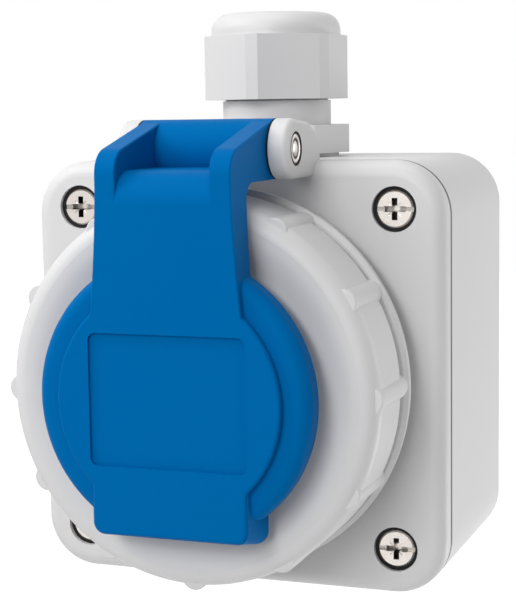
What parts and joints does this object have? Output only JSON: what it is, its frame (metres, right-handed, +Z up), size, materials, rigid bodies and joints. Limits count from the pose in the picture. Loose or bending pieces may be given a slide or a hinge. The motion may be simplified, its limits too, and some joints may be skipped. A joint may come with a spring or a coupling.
{
  "type": "surface-mounted socket outlet",
  "caption": "Square wall box with a round earthed plug socket, a hinged lid closed by a bayonet locking ring, and a cable gland on top.",
  "frame": {"origin": "on the wall face, at the axis of the plug recess", "axes": "+X right seen from the front, +Y into the wall, +Z up"},
  "size_m": [0.085, 0.0836, 0.1131],
  "materials": {
    "housing_grey": "pale grey moulded plastic, satin",
    "insert_grey": "light grey moulded plastic, matt",
    "lid_blue": "blue moulded plastic, satin",
    "gasket_grey": "pale grey soft gasket",
    "seal_rubber": "dark soft rubber",
    "screw_steel": "bright zinc-plated steel",
    "contact_brass": "plain brass"
  },
  "bodies": {
    "housing": {"rear_box": "housing_grey", "front_cover": "housing_grey", "cover_seal": "seal_rubber", "cover_screws": "screw_steel", "screw_seals": "seal_rubber", "socket_insert": "insert_grey", "insert_seal": "seal_rubber", "insert_screws": "screw_steel", "contact_left": "contact_brass", "contact_right": "contact_brass", "earth_clip": "contact_brass", "terminal_screws": "screw_steel", "insert_back": "insert_grey", "hinge_pin": "screw_steel", "gland_body": "housing_grey", "gland_gasket": "gasket_grey", "gland_locknut": "housing_grey", "gland_claw": "insert_grey", "gland_seal": "seal_rubber"},
    "lid": {"lid": "lid_blue", "lid_disc": "housing_grey", "lid_seal": "seal_rubber", "lid_screws": "screw_steel"},
    "ring": {"locking_ring": "housing_grey"},
    "nut": {"gland_nut": "housing_grey"}
  },
  "joints": [
    {"name": "lid_hinge", "type": "hinge", "parent": "housing", "child": "lid", "pos_m": [0, -0.0601, 0.0444], "axis": [-1, 0, 0], "range_deg": [0, 150]},
    {"name": "ring_turn", "type": "hinge", "parent": "lid", "child": "ring", "pos_m": [0, -0.0715, 0], "axis": [0, 1, 0], "range_deg": [0, 45]},
    {"name": "gland_nut_turn", "type": "hinge", "parent": "housing", "child": "nut", "pos_m": [0, -0.0226, 0.06], "axis": [0, 0, 1], "continuous": true}
  ]
}
